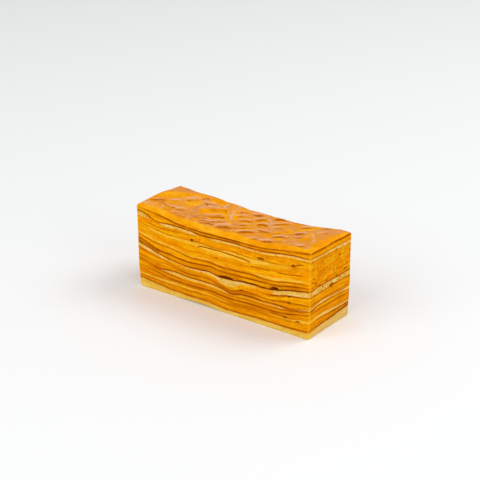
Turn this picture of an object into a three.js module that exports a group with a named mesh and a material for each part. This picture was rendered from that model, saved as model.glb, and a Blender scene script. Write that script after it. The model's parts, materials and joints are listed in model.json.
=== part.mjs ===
// Sarawak layer cake: a cut bar of thin baked layers, poured and browned one after another.
// Millimetres, +Z up, +X along the bar. The origin is on the underside, below the bar's middle.
// Every layer is its own closed solid. Two neighbours share one height sheet, so they touch
// face to face with nothing between them. The dark lines of the real cake are the browned
// skins of the layers and have no thickness of their own here.

import * as THREE from "three";

// ---- The bar ----
const LENGTH = 154;
const DEPTH = 51;
const CORNER_HEIGHT = 64;

// The two end walls are upright above TUCK_HEIGHT and lean in below it.
const TUCK_HEIGHT = 24;
const LEFT_TUCK = 2.2;
const RIGHT_TUCK = 0.8;

// ---- The top ----
// It sags between the ends, more at the back. The right end curls up, mostly at the front, the
// left end is crowned half way back, and a low swell and a low dip cross the back.
const FRONT_SAG = { drop: 2.9, power: 1.6 };
const BACK_SAG = { drop: 4.1, power: 1.3 };
const RIGHT_LIP = { rise: 2.0, reach: 0.16, back: 0.3 };
const LEFT_CROWN = { rise: 2.1, reach: 0.12, at: 0.45, spread: 0.3 };
const BACK_SWELLS = [
  { at: 0.33, reach: 0.12, rise: 1.4 },
  { at: 0.79, reach: 0.08, rise: -1.2 },
];
const EDGE_ROUND = { drop: 0.8, reach: 2.4 };

// The top was pressed into columns of shallow hollows. Spines run slantwise between the
// columns, and ridges cross each column from spine to spine. `from` is where a column's left
// spine stands, across the slant, and `ridges` are where its ridges cross, along the slant,
// both from the middle of the bar. A ridge bows by `bow`: up into a hump, or down in a swag.
const PATTERN = { slant: THREE.MathUtils.degToRad(36.8), relief: 0.8, spine: 2, end: 79, spare: 12 };
const COLUMNS = [
  { from: -79, ridges: [28, 38], bow: -1, depth: 0.4 },
  { from: -62, ridges: [3, 14.5, 26.5, 33.5, 40], bow: -3.5, depth: 0.9 },
  { from: -42, ridges: [-8, 0.5, 7.5, 14, 25.5, 31, 39.5], bow: -3, depth: 0.9 },
  { from: -26.4, ridges: [-24, -16, -8, -1, 10, 17, 27.5, 44], bow: -2.5, depth: 1 },
  { from: -7.5, ridges: [-27, -18.5, -14, -6.5, 2.5, 10.5, 19.5, 28], bow: 1.5, depth: 1 },
  { from: 6.5, ridges: [-36, -27, -17.2, -8, -2.5, 4.7, 14, 24], bow: 2.2, depth: 1 },
  { from: 20, ridges: [-40, -30.3, -22, -13.5, -4.7, 6, 16], bow: 2, depth: 1 },
  { from: 34, ridges: [-45, -35, -25.7, -20, -13.4, -7, 0.2, 10], bow: 2, depth: 0.7 },
  { from: 49, ridges: [-62, -50, -38, -26, -14], bow: 2, depth: 0.35 },
  { from: 63, ridges: [-52, -40, -28], bow: 1, depth: 0.2 },
];

// ---- The layers ----
// A layer is `middle` thick half way along and runs out to `left` and `right` at the two ends.
// A swell adds `rise` around `at` (0 left end, 1 right end) and fades over `reach`; a negative
// rise pinches the layer. Swells lie slantwise: they move SWELL_DRIFT of the length towards
// the left by the time they reach the back, so one at 1.2 shows at the back of the right end.
const SWELL_DRIFT = 0.2;
const THINNEST = 0.45;
const RIPPLE = 0.18;

const CRUMB = {
  base: { color: 0xdcb648, roughness: 0.8 },
  deep: { color: 0xe68a0c, roughness: 0.78 },
  amber: { color: 0xf59b10, roughness: 0.75 },
  yellow: { color: 0xe8b32e, roughness: 0.78 },
  cream: { color: 0xe9b962, roughness: 0.8 },
  skin: { color: 0xe2954a, roughness: 0.6 },
};

const LAYERS = [
  {
    name: "layer_01_base",
    crumb: CRUMB.base,
    left: 7.8,
    middle: 3.8,
    right: 5.8,
    swells: [
      { at: 0.15, reach: 0.08, rise: -0.8 },
      { at: 0.4, reach: 0.06, rise: 0.6 },
      { at: 0.55, reach: 0.07, rise: -0.6 },
      { at: 0.74, reach: 0.06, rise: 0.6 },
      { at: 1.045, reach: 0.045, rise: 1.1 },
      { at: 1.2, reach: 0.11, rise: 4.3 },
    ],
  },
  {
    name: "layer_02_amber",
    crumb: CRUMB.deep,
    left: 1.7,
    middle: 4.8,
    right: 5.6,
    swells: [
      { at: 0.38, reach: 0.06, rise: -0.8 },
      { at: 0.78, reach: 0.06, rise: -0.5 },
      { at: 1.02, reach: 0.03, rise: 0.6 },
      { at: 1.2, reach: 0.1, rise: -4.3 },
    ],
  },
  {
    name: "layer_03_yellow",
    crumb: CRUMB.yellow,
    left: 2.7,
    middle: 2.2,
    right: 2.8,
    swells: [{ at: 0.9, reach: 0.05, rise: -0.8 }],
  },
  {
    name: "layer_04_amber",
    crumb: CRUMB.deep,
    left: 5.4,
    middle: 2.4,
    right: 4.1,
    swells: [
      { at: 0.22, reach: 0.09, rise: -2.1 },
      { at: 0.4, reach: 0.05, rise: -1.0 },
      { at: 0.8, reach: 0.1, rise: -1.7 },
      { at: 1.2, reach: 0.1, rise: 1.8 },
    ],
  },
  {
    name: "layer_05_amber",
    crumb: CRUMB.deep,
    left: 5.5,
    middle: 3.1,
    right: 3.0,
    swells: [
      { at: 0.1, reach: 0.05, rise: -1.8 },
      { at: 0.32, reach: 0.12, rise: -0.9 },
      { at: 0.73, reach: 0.08, rise: -0.4 },
    ],
  },
  {
    name: "layer_06_cream",
    crumb: CRUMB.cream,
    left: 0.5,
    middle: 2.8,
    right: 2.4,
    swells: [
      { at: 0.08, reach: 0.06, rise: -1.0 },
      { at: 0.3, reach: 0.1, rise: 0.8 },
      { at: 0.57, reach: 0.04, rise: -1.5 },
      { at: 0.91, reach: 0.035, rise: -2.6 },
    ],
  },
  {
    name: "layer_07_amber",
    crumb: CRUMB.deep,
    left: 1.6,
    middle: 2.9,
    right: 1.4,
    swells: [
      { at: 0.13, reach: 0.11, rise: 3.0 },
      { at: 0.5, reach: 0.06, rise: -1.4 },
      { at: 0.9, reach: 0.07, rise: 2.8 },
    ],
  },
  {
    name: "layer_08_amber",
    crumb: CRUMB.deep,
    left: 5.0,
    middle: 1.4,
    right: 6.2,
    swells: [
      { at: 0.21, reach: 0.08, rise: -1.4 },
      { at: 0.465, reach: 0.04, rise: 1.2 },
      { at: 0.7, reach: 0.09, rise: 1.7 },
      { at: 0.9, reach: 0.05, rise: 0.9 },
      { at: 1.07, reach: 0.06, rise: -0.9 },
      { at: 1.2, reach: 0.06, rise: 1.2 },
    ],
  },
  {
    name: "layer_09_cream",
    crumb: CRUMB.cream,
    left: 4.6,
    middle: 3.3,
    right: 4.6,
    swells: [
      { at: 0.15, reach: 0.09, rise: -1.2 },
      { at: 0.56, reach: 0.06, rise: 3.6 },
    ],
  },
  {
    name: "layer_10_amber",
    crumb: CRUMB.amber,
    left: 3.4,
    middle: 3.7,
    right: 2.8,
    swells: [
      { at: 0.12, reach: 0.06, rise: -0.7 },
      { at: 0.34, reach: 0.1, rise: -0.4 },
      { at: 0.47, reach: 0.05, rise: 0.6 },
      { at: 0.56, reach: 0.08, rise: 1.2 },
      { at: 0.74, reach: 0.06, rise: 0.7 },
    ],
  },
  {
    name: "layer_11_amber",
    crumb: CRUMB.amber,
    left: 3.2,
    middle: 3.0,
    right: 2.8,
    swells: [
      { at: 0.22, reach: 0.14, rise: 2.1 },
      { at: 0.54, reach: 0.06, rise: 0.5 },
      { at: 1.12, reach: 0.07, rise: -1.1 },
    ],
  },
  {
    name: "layer_12_yellow",
    crumb: CRUMB.yellow,
    left: 1.8,
    middle: 2.2,
    right: 2.6,
    swells: [{ at: 0.1, reach: 0.04, rise: 0.9 }],
  },
  {
    name: "layer_13_amber",
    crumb: CRUMB.amber,
    left: 2.1,
    middle: 3.6,
    right: 2.4,
    swells: [
      { at: 0.2, reach: 0.07, rise: -0.7 },
      { at: 0.43, reach: 0.07, rise: -1.3 },
      { at: 0.8, reach: 0.12, rise: 2.6 },
      { at: 1.085, reach: 0.045, rise: -0.8 },
    ],
  },
  {
    name: "layer_14_amber",
    crumb: CRUMB.amber,
    left: 4.2,
    middle: 1.5,
    right: 3.6,
    swells: [
      { at: 0.07, reach: 0.05, rise: -0.7 },
      { at: 0.33, reach: 0.08, rise: 2.6 },
    ],
  },
  {
    name: "layer_15_yellow",
    crumb: CRUMB.yellow,
    left: 2.0,
    middle: 2.6,
    right: 1.7,
    swells: [{ at: 0.54, reach: 0.15, rise: 4.1 }],
  },
  {
    name: "layer_16_amber",
    crumb: CRUMB.amber,
    left: 4.0,
    middle: 4.4,
    right: 6.0,
    swells: [
      { at: 0.1, reach: 0.07, rise: 1.8 },
      { at: 0.58, reach: 0.08, rise: 0.2 },
    ],
  },
  {
    name: "layer_17_cream",
    crumb: CRUMB.cream,
    left: 4.6,
    middle: 2.6,
    right: 2.8,
    swells: [
      { at: 0.115, reach: 0.05, rise: -3.4 },
      { at: 0.4, reach: 0.04, rise: -1.9 },
    ],
  },
  {
    name: "layer_18_amber",
    crumb: CRUMB.amber,
    left: 1.2,
    middle: 1.8,
    right: 3.8,
    swells: [{ at: 0.125, reach: 0.075, rise: 4.8 }],
  },
  {
    name: "layer_19_top",
    crumb: CRUMB.skin,
    left: 1.7,
    middle: 3.9,
    right: 2.2,
    swells: [
      { at: 0.12, reach: 0.1, rise: -0.7 },
      { at: 0.28, reach: 0.1, rise: 1.0 },
      { at: 0.6, reach: 0.1, rise: -0.5 },
      { at: 0.83, reach: 0.05, rise: -0.6 },
      { at: 1.1, reach: 0.06, rise: -0.9 },
    ],
  },
];

// ---- Sampling ----
const LAYER_CELLS = { along: 16, deep: 4 };
const TOP_PITCH = 2.5;

/** A rounded hill: 1 at its middle, fading to nothing over about two reaches. */
function hill(distance, reach) {
  return Math.exp(-((distance / reach) ** 2));
}

/** Height of the smooth top at u along the bar and v from front to back, both 0 to 1. */
function topHeight(u, v) {
  const middle = Math.sin(Math.PI * u);
  const frontDip = FRONT_SAG.drop * middle ** FRONT_SAG.power;
  const backDip = BACK_SAG.drop * middle ** BACK_SAG.power;
  const dip = THREE.MathUtils.lerp(frontDip, backDip, v);
  const lipRise = RIGHT_LIP.rise * THREE.MathUtils.lerp(1, RIGHT_LIP.back, v);
  const lip = lipRise * hill(1 - u, RIGHT_LIP.reach);
  const crowned = hill(u, LEFT_CROWN.reach) * hill(v - LEFT_CROWN.at, LEFT_CROWN.spread);
  const crown = LEFT_CROWN.rise * crowned;
  let swell = 0;
  for (const { at, reach, rise } of BACK_SWELLS) {
    swell += rise * hill(u - at, reach) * v;
  }
  return CORNER_HEIGHT - dip + lip + crown + swell;
}

/** Thickness of one layer before the stack is fitted to the height of the bar. */
function looseThickness(layer, index, u, v) {
  const along = u + SWELL_DRIFT * v;
  const held = Math.min(along, 1);
  const end = held < 0.5 ? layer.left : layer.right;
  let thickness = layer.middle + (end - layer.middle) * (1 - Math.sin(Math.PI * held));
  for (const swell of layer.swells) {
    thickness += swell.rise * hill(along - swell.at, swell.reach);
  }
  thickness += RIPPLE * Math.sin(2 * Math.PI * (2.3 * along + 0.37 * index) + 2.4 * v);
  return Math.max(thickness, THINNEST);
}

/** Heights of all the layer boundaries in one upright column, from the underside to the top. */
function boundaryHeights(u, v) {
  const loose = LAYERS.map((layer, index) => looseThickness(layer, index, u, v));
  const total = loose.reduce((sum, thickness) => sum + thickness, 0);
  const scale = topHeight(u, v) / total;
  const heights = [0];
  for (const thickness of loose) {
    heights.push(heights[heights.length - 1] + thickness * scale);
  }
  return heights;
}

/** Places a point of the plan at its height, drawn in by the lean of the end walls. */
function placed(u, v, z) {
  const below = Math.max(0, 1 - z / TUCK_HEIGHT) ** 2;
  const leftEnd = -LENGTH / 2 + LEFT_TUCK * below;
  const rightEnd = LENGTH / 2 - RIGHT_TUCK * below;
  return [THREE.MathUtils.lerp(leftEnd, rightEnd, u), (v - 0.5) * DEPTH, z];
}

/** Relief of the pressed hollows: nothing on the spines and ridges, negative between them. */
function hollowRelief(x, y) {
  const across = x * Math.cos(PATTERN.slant) + y * Math.sin(PATTERN.slant);
  const along = y * Math.cos(PATTERN.slant) - x * Math.sin(PATTERN.slant);
  const index = COLUMNS.findLastIndex((column) => across >= column.from);
  const { from, ridges, bow, depth } = COLUMNS[index];
  const to = index + 1 < COLUMNS.length ? COLUMNS[index + 1].from : PATTERN.end;
  const side = (2 * (across - from)) / (to - from) - 1;
  const place = along - bow * (1 - side * side);
  const all = [ridges[0] - PATTERN.spare, ...ridges, ridges[ridges.length - 1] + PATTERN.spare];
  const upper = Math.max(1, all.findIndex((ridge) => ridge > place));
  const below = THREE.MathUtils.clamp((all[upper] - place) / (all[upper] - all[upper - 1]), 0, 1);
  const ridge = Math.cos(Math.PI * below ** 0.66) ** 2;
  const spine = hill(((1 - Math.abs(side)) * (to - from)) / 2, PATTERN.spine);
  return -PATTERN.relief * depth * (1 - Math.max(ridge, spine));
}

/** How far the top has rounded down near a cut edge, at a distance in from it. */
function edgeDrop(distance) {
  const near = Math.max(0, 1 - distance / EDGE_ROUND.reach);
  return EDGE_ROUND.drop * near ** 2;
}

// ---- Height sheets ----
/** Equal steps from 0 to 1. */
function evenSteps(count) {
  return Array.from({ length: count + 1 }, (_, i) => i / count);
}

/** Steps from 0 to 1 with two narrow ones at each end, for the rounded edges. */
function edgedSteps(size) {
  const inner = EDGE_ROUND.reach / size;
  const count = Math.round((size - 2 * EDGE_ROUND.reach) / TOP_PITCH);
  const middle = evenSteps(count).map((step) => inner + step * (1 - 2 * inner));
  return [0, inner / 3, ...middle, 1 - inner / 3, 1];
}

/** A grid of points over the plan, with a height for each. */
function heightSheet(stepsAlong, stepsDeep, heightAt) {
  const points = stepsDeep.map((v) => stepsAlong.map((u) => placed(u, v, heightAt(u, v))));
  return { points, columns: stepsAlong.length, rows: stepsDeep.length };
}

/** The four border runs of a sheet, anticlockwise from the front left corner. */
function borderRuns(sheet) {
  const { points, columns, rows } = sheet;
  const lastColumn = columns - 1;
  const lastRow = rows - 1;
  return [
    points[0],
    points.map((row) => row[lastColumn]),
    [...points[lastRow]].reverse(),
    points.map((row) => row[0]).reverse(),
  ];
}

// ---- Solids ----
/** Collects triangles from points, keeping one copy of each shared point. */
class SolidBuilder {
  constructor() {
    this.positions = [];
    this.indices = [];
    this.known = new Map();
  }

  vertex(point) {
    if (!this.known.has(point)) {
      this.known.set(point, this.positions.length / 3);
      this.positions.push(...point);
    }
    return this.known.get(point);
  }

  triangle(a, b, c) {
    this.indices.push(this.vertex(a), this.vertex(b), this.vertex(c));
  }

  /** Covers a sheet with triangles that face up, or down for the underside of a layer. */
  cover(sheet, facesUp) {
    for (let j = 0; j < sheet.rows - 1; j += 1) {
      for (let i = 0; i < sheet.columns - 1; i += 1) {
        const a = sheet.points[j][i];
        const b = sheet.points[j][i + 1];
        const c = sheet.points[j + 1][i + 1];
        const d = sheet.points[j + 1][i];
        if (facesUp) {
          this.triangle(a, b, c);
          this.triangle(a, c, d);
        } else {
          this.triangle(a, c, b);
          this.triangle(a, d, c);
        }
      }
    }
  }

  /** Closes the wall between two runs that start and end at the same corners. */
  wall(lowerRun, upperRun) {
    const lowerCount = lowerRun.length - 1;
    const upperCount = upperRun.length - 1;
    let i = 0;
    let j = 0;
    while (i < lowerCount || j < upperCount) {
      const nextLower = i < lowerCount ? (i + 1) / lowerCount : Infinity;
      const nextUpper = j < upperCount ? (j + 1) / upperCount : Infinity;
      if (nextLower <= nextUpper) {
        this.triangle(lowerRun[i], lowerRun[i + 1], upperRun[j]);
        i += 1;
      } else {
        this.triangle(lowerRun[i], upperRun[j + 1], upperRun[j]);
        j += 1;
      }
    }
  }

  geometry() {
    const geometry = new THREE.BufferGeometry();
    geometry.setAttribute("position", new THREE.Float32BufferAttribute(this.positions, 3));
    geometry.setIndex(this.indices);
    geometry.computeVertexNormals();
    return geometry;
  }
}

/** The closed solid between a lower and an upper sheet. */
function solidBetween(lower, upper) {
  const builder = new SolidBuilder();
  builder.cover(lower, false);
  builder.cover(upper, true);
  const lowerRuns = borderRuns(lower);
  const upperRuns = borderRuns(upper);
  lowerRuns.forEach((run, side) => builder.wall(run, upperRuns[side]));
  return builder.geometry();
}

// ---- The cake ----
const stepsAlong = evenSteps(LAYER_CELLS.along);
const stepsDeep = evenSteps(LAYER_CELLS.deep);
const boundaries = LAYERS.map((_, index) =>
  heightSheet(stepsAlong, stepsDeep, (u, v) => boundaryHeights(u, v)[index]),
);

const topSurface = heightSheet(edgedSteps(LENGTH), edgedSteps(DEPTH), (u, v) => {
  const x = (u - 0.5) * LENGTH;
  const y = (v - 0.5) * DEPTH;
  const fromEnd = Math.min(u, 1 - u) * LENGTH;
  const fromSide = Math.min(v, 1 - v) * DEPTH;
  return topHeight(u, v) + hollowRelief(x, y) - edgeDrop(Math.min(fromEnd, fromSide));
});

const cake = new THREE.Group();
LAYERS.forEach((layer, index) => {
  const upper = index + 1 < LAYERS.length ? boundaries[index + 1] : topSurface;
  const material = new THREE.MeshStandardMaterial({
    color: layer.crumb.color,
    roughness: layer.crumb.roughness,
    metalness: 0,
  });
  const mesh = new THREE.Mesh(solidBetween(boundaries[index], upper), material);
  mesh.name = layer.name;
  cake.add(mesh);
});

export default cake;
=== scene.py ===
# %% [markdown]
# Sarawak layer cake: a cut bar of nineteen thin baked layers, dressed in Blender.
#
# The imported model is a fixed frame: nineteen closed solids that share their faces. Each of
# them is replaced here by a finer piece of the same shape. This first cell loads the frame
# and keeps its box, which gives the length and depth of the bar and the middle that the lamps face.

# %% Load the frame
import json
import math

import bmesh
import bpy
import numpy as np
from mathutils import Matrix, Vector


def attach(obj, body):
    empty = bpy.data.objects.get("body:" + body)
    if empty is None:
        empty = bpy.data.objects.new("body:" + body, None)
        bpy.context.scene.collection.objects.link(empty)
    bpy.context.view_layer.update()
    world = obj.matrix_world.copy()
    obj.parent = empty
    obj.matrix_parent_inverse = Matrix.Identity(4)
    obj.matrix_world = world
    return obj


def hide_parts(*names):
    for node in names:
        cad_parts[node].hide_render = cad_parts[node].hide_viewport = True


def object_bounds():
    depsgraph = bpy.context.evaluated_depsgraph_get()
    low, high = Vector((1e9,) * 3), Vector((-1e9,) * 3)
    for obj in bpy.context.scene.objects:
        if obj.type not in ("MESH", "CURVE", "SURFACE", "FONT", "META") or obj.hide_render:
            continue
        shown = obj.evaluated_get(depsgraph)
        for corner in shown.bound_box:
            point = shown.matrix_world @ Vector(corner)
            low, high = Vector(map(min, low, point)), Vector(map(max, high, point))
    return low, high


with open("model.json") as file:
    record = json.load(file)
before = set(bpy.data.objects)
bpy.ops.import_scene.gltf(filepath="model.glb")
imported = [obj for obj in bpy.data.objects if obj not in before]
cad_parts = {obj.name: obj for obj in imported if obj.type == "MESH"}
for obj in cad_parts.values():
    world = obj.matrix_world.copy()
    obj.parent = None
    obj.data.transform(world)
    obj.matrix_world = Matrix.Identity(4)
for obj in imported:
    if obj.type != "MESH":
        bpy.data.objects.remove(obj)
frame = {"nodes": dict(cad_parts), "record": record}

MM = 0.001
cad_low, cad_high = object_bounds()
LENGTH = (cad_high.x - cad_low.x) / MM
DEPTH = (cad_high.y - cad_low.y) / MM
LAYER_NAMES = sorted(frame["nodes"])
LAYER_COUNT = len(LAYER_NAMES)
SLOTS = {part["node"]: part["material_slot"] for part in frame["record"]["subparts"]}
print("layers:", LAYER_COUNT, "bar:", round(LENGTH, 1), "x", round(DEPTH, 1), "mm")

# %% [markdown]
# The camera looks at the long cut face and the right end from a little above, with a long
# lens, so the bar shows almost no perspective. Angles, distance and lens are set here by
# name, and the camera is placed by walking back from the point it looks at.

# %% Camera
CAMERA_AZIMUTH = math.radians(36.90)
CAMERA_ELEVATION = math.radians(22.81)
CAMERA_DISTANCE = 1.0004
CAMERA_LENS = 100.3
CAMERA_CLIP = 0.05
LOOK_AT = (-0.0243, 0.0306, 0.0305)


def place_camera():
    """Adds the camera at its angle and distance from the point it looks at."""
    across = math.sin(CAMERA_AZIMUTH) * math.cos(CAMERA_ELEVATION)
    along = -math.cos(CAMERA_AZIMUTH) * math.cos(CAMERA_ELEVATION)
    back = (across, along, math.sin(CAMERA_ELEVATION))
    data = bpy.data.cameras.new("camera")
    data.lens = CAMERA_LENS
    data.clip_start = CAMERA_CLIP
    camera = bpy.data.objects.new("camera", data)
    camera.location = [at + CAMERA_DISTANCE * step for at, step in zip(LOOK_AT, back)]
    camera.rotation_euler = (math.pi / 2 - CAMERA_ELEVATION, 0.0, CAMERA_AZIMUTH)
    bpy.context.scene.collection.objects.link(camera)
    bpy.context.scene.camera = camera
    return camera


camera = place_camera()
print("camera at", [round(c, 3) for c in camera.location])

# %% [markdown]
# The cake stands on a plain pale floor in soft studio light. One wide lamp hangs high
# behind the right end and gives the ridges of the top a shaded side, a weaker one fills the
# cut face, and a white world lifts every shadow, as white walls do round a studio table.

# %% Floor and light
FLOOR = {"size": 6.0, "below": 0.00005, "roughness": 0.7, "specular": 0.2}
FLOOR_COLOUR = (0.92, 0.93, 0.935, 1)
WORLD_STRENGTH = 0.55
LAMPS = [
    {"name": "key", "at": (0.9, 1.0, 1.7), "size": 1.3, "watts": 17},
    {"name": "front", "at": (-0.4, -1.7, 1.3), "size": 1.6, "watts": 18},
    {"name": "right", "at": (1.9, -0.5, 0.9), "size": 1.2, "watts": 6},
]


def add_floor():
    """Adds the floor, a flat square a hair below the underside."""
    bm = bmesh.new()
    bmesh.ops.create_grid(bm, x_segments=1, y_segments=1, size=FLOOR["size"] / 2)
    bmesh.ops.translate(bm, verts=bm.verts, vec=(0, 0, -FLOOR["below"]))
    mesh = bpy.data.meshes.new("floor")
    bm.to_mesh(mesh)
    bm.free()
    floor = bpy.data.objects.new("floor", mesh)
    bpy.context.scene.collection.objects.link(floor)
    material = bpy.data.materials.new("floor white")
    material.use_nodes = True
    surface = material.node_tree.nodes["Principled BSDF"]
    surface.inputs["Base Color"].default_value = FLOOR_COLOUR
    surface.inputs["Roughness"].default_value = FLOOR["roughness"]
    surface.inputs["Specular IOR Level"].default_value = FLOOR["specular"]
    mesh.materials.append(material)


def add_lamp(name, at, size, watts):
    """Adds a square area lamp that faces the middle of the cake."""
    data = bpy.data.lights.new(name, "AREA")
    data.size = size
    data.energy = watts
    lamp = bpy.data.objects.new(name, data)
    lamp.location = at
    middle = (cad_low + cad_high) / 2
    lamp.rotation_euler = (middle - lamp.location).to_track_quat("-Z", "Y").to_euler()
    bpy.context.scene.collection.objects.link(lamp)


def add_world():
    """Adds an even white surround."""
    world = bpy.data.worlds.new("white surround")
    world.use_nodes = True
    background = world.node_tree.nodes["Background"]
    background.inputs["Color"].default_value = (1, 1, 1, 1)
    background.inputs["Strength"].default_value = WORLD_STRENGTH
    bpy.context.scene.world = world


add_floor()
for lamp in LAMPS:
    add_lamp(**lamp)
add_world()
bpy.context.scene.view_settings.view_transform = "Standard"
print("lamps:", len(LAMPS))

# %% [markdown]
# Unevenness needs noise that is the same on every run. A small table of seeded random
# numbers is read at the corners of a grid of cells and smoothed between them. A point gets
# the same value whichever layer asks, so neighbouring layers still meet after they are
# made uneven.

# %% Seeded noise
NOISE_SEED = 1913
NOISE_TABLE = 4096
PRIMES = (73856093, 19349663, 83492791)
OFFSET = 500.0


def noise(points, cell, seed):
    """Smooth noise from -1 to 1 at points in mm, with bumps about one cell wide."""
    table = np.random.default_rng(NOISE_SEED + seed).uniform(-1, 1, NOISE_TABLE)
    scaled = np.asarray(points) / cell + OFFSET
    base = np.floor(scaled).astype(np.int64)
    inside = scaled - base
    smooth = inside * inside * (3 - 2 * inside)
    total = np.zeros(len(scaled))
    for corner in range(8):
        step = np.array([corner & 1, corner >> 1 & 1, corner >> 2 & 1])
        ix, iy, iz = ((base + step) * PRIMES).T
        value = table[(ix ^ iy ^ iz) & (NOISE_TABLE - 1)]
        weight = np.where(step, smooth, 1 - smooth)
        total += value * weight.prod(axis=1)
    return total


def waver(points, *parts):
    """Noises added up, each given by its height, cell and seed."""
    return sum(height * noise(points, cell, seed) for height, cell, seed in parts)


def on_plane(x, y):
    """Flat points, as noise takes them."""
    return np.column_stack([x, y, np.zeros(len(x))])


print("noise sample:", noise(np.array([[1.0, 2.0, 3.0]]), 5.0, 0).round(3))

# %% [markdown]
# Every solid of the frame meets its neighbours on a lattice of shared heights, seventeen
# points along the bar and five deep. Reading the lowest point of each solid at each lattice
# place gives the height of every boundary. Below a certain height the two end walls lean in,
# so a point's place along the bar is found by undoing that lean first.

# %% Read the heights of the boundaries from the frame
LATTICE = (17, 5)
TUCK_HEIGHT = 24.0
LEFT_TUCK = 2.2
RIGHT_TUCK = 0.8


def end_walls(z):
    """Where the left and the right end wall stand at a height, in mm."""
    below = np.clip(1 - z / TUCK_HEIGHT, 0, None) ** 2
    return LEFT_TUCK * below - LENGTH / 2, LENGTH / 2 - RIGHT_TUCK * below


def node_points(name):
    """Points of a node in mm, from a merged copy of its mesh."""
    bm = bmesh.new()
    bm.from_mesh(frame["nodes"][name].data)
    bmesh.ops.remove_doubles(bm, verts=bm.verts, dist=MM / 100)
    points = np.array([vert.co for vert in bm.verts]) / MM
    bm.free()
    return points


def lattice_place(points):
    """The nearest place of the lattice to each point, along the bar and from front to back."""
    left_end, right_end = end_walls(points[:, 2])
    along = (points[:, 0] - left_end) / (right_end - left_end) * (LATTICE[0] - 1)
    deep = (points[:, 1] / DEPTH + 0.5) * (LATTICE[1] - 1)
    return np.rint(along).astype(int), np.rint(deep).astype(int)


def lowest_heights(points):
    """Lowest height at each place of the lattice."""
    heights = np.full(LATTICE, np.inf)
    np.minimum.at(heights, lattice_place(points), points[:, 2])
    return heights


lattice_heights = [lowest_heights(node_points(name)) for name in LAYER_NAMES]
print("boundaries read:", len(lattice_heights))

# %% [markdown]
# The upper face of the top layer carries the relief of its hollows, so its mean height is
# found instead: a plane is fitted to the points around each lattice place, away from the
# rounded rim, and lifted by half of the relief.

# %% Mean height of the top
FIT_REACH = 9.0
RIM = 2.6
LEAST_THICKNESS = 1.0
TOP_RELIEF = 0.8


def upper_points(points, lower):
    """Points of the top layer's upper face, away from its rounded rim."""
    upper = points[:, 2] > lower[lattice_place(points)] + LEAST_THICKNESS
    inner = (abs(points[:, 0]) < LENGTH / 2 - RIM) & (abs(points[:, 1]) < DEPTH / 2 - RIM)
    return points[upper & inner]


def mean_heights(points):
    """Height of the evened-out top at each place of the lattice."""
    heights = np.zeros(LATTICE)
    for i, j in np.ndindex(LATTICE):
        x = (i / (LATTICE[0] - 1) - 0.5) * LENGTH
        y = (j / (LATTICE[1] - 1) - 0.5) * DEPTH
        offset = points[:, :2] - (x, y)
        near = np.hypot(offset[:, 0], offset[:, 1]) < FIT_REACH
        terms = np.column_stack([offset[near], np.ones(near.sum())])
        *_, height = np.linalg.lstsq(terms, points[near, 2], rcond=None)[0]
        heights[i, j] = height + TOP_RELIEF / 2
    return heights


top_points = upper_points(node_points(LAYER_NAMES[-1]), lattice_heights[-1])
lattice_heights = np.array([*lattice_heights, mean_heights(top_points)])
print("top runs from", lattice_heights[-1].min().round(1), "to", lattice_heights[-1].max().round(1))

# %% [markdown]
# Between the lattice places the real layers run in smooth waves, so the heights are carried
# from place to place by a Catmull-Rom curve both ways. A little noise of its own then makes
# each boundary waver, never by more than a share of the thinner layer beside it. Part of
# the base has come up with the knife along the front, which leaves a shallow arch there.

# %% Boundary heights anywhere on the plan
WAVES = ((0.4, 17.0, 1), (0.12, 5.0, 2))
WAVE_SHARE = 0.2
WAVES_APART = 31.0
ARCH = {"from": 0.22, "to": 0.52, "height": 1.3, "deep": 0.22}


def curve_weights(place, count):
    """Weights of the lattice places for points at places from 0 to 1."""
    scaled = np.clip(place, 0, 1) * (count - 1)
    cell = np.minimum(scaled.astype(int), count - 2)
    f = scaled - cell
    parts = [
        (-(f**3) + 2 * f**2 - f) / 2,
        (3 * f**3 - 5 * f**2 + 2) / 2,
        (-3 * f**3 + 4 * f**2 + f) / 2,
        (f**3 - f**2) / 2,
    ]
    weights = np.zeros((len(place), count + 2))
    rows = np.arange(len(place))
    for step, part in enumerate(parts):
        weights[rows, cell + step] += part
    weights[:, 1] += 2 * weights[:, 0]
    weights[:, 2] -= weights[:, 0]
    weights[:, -2] += 2 * weights[:, -1]
    weights[:, -3] -= weights[:, -1]
    return weights[:, 1:-1]


def boundary_heights(u, v):
    """Heights of all boundaries above points of the plan: one row for each boundary."""
    along = curve_weights(u, LATTICE[0])
    deep = curve_weights(v, LATTICE[1])
    heights = np.einsum("ni,kij,nj->kn", along, lattice_heights, deep, optimize=True)
    gaps = np.diff(heights, axis=0)
    room = WAVE_SHARE * np.minimum(gaps[:-1], gaps[1:])
    for k in range(1, LAYER_COUNT):
        place = np.column_stack([u * LENGTH, v * DEPTH, np.full(len(u), WAVES_APART * k)])
        heights[k] += np.clip(waver(place, *WAVES), -room[k - 1], room[k - 1])
    inside = np.clip((u - ARCH["from"]) / (ARCH["to"] - ARCH["from"]), 0, 1)
    heights[0] += ARCH["height"] * np.sin(np.pi * inside) * np.clip(1 - v / ARCH["deep"], 0, 1)
    return heights


sample = boundary_heights(np.array([0.5]), np.array([0.0]))[:, 0]
print("boundaries at the middle of the front:", sample.round(1))
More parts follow.
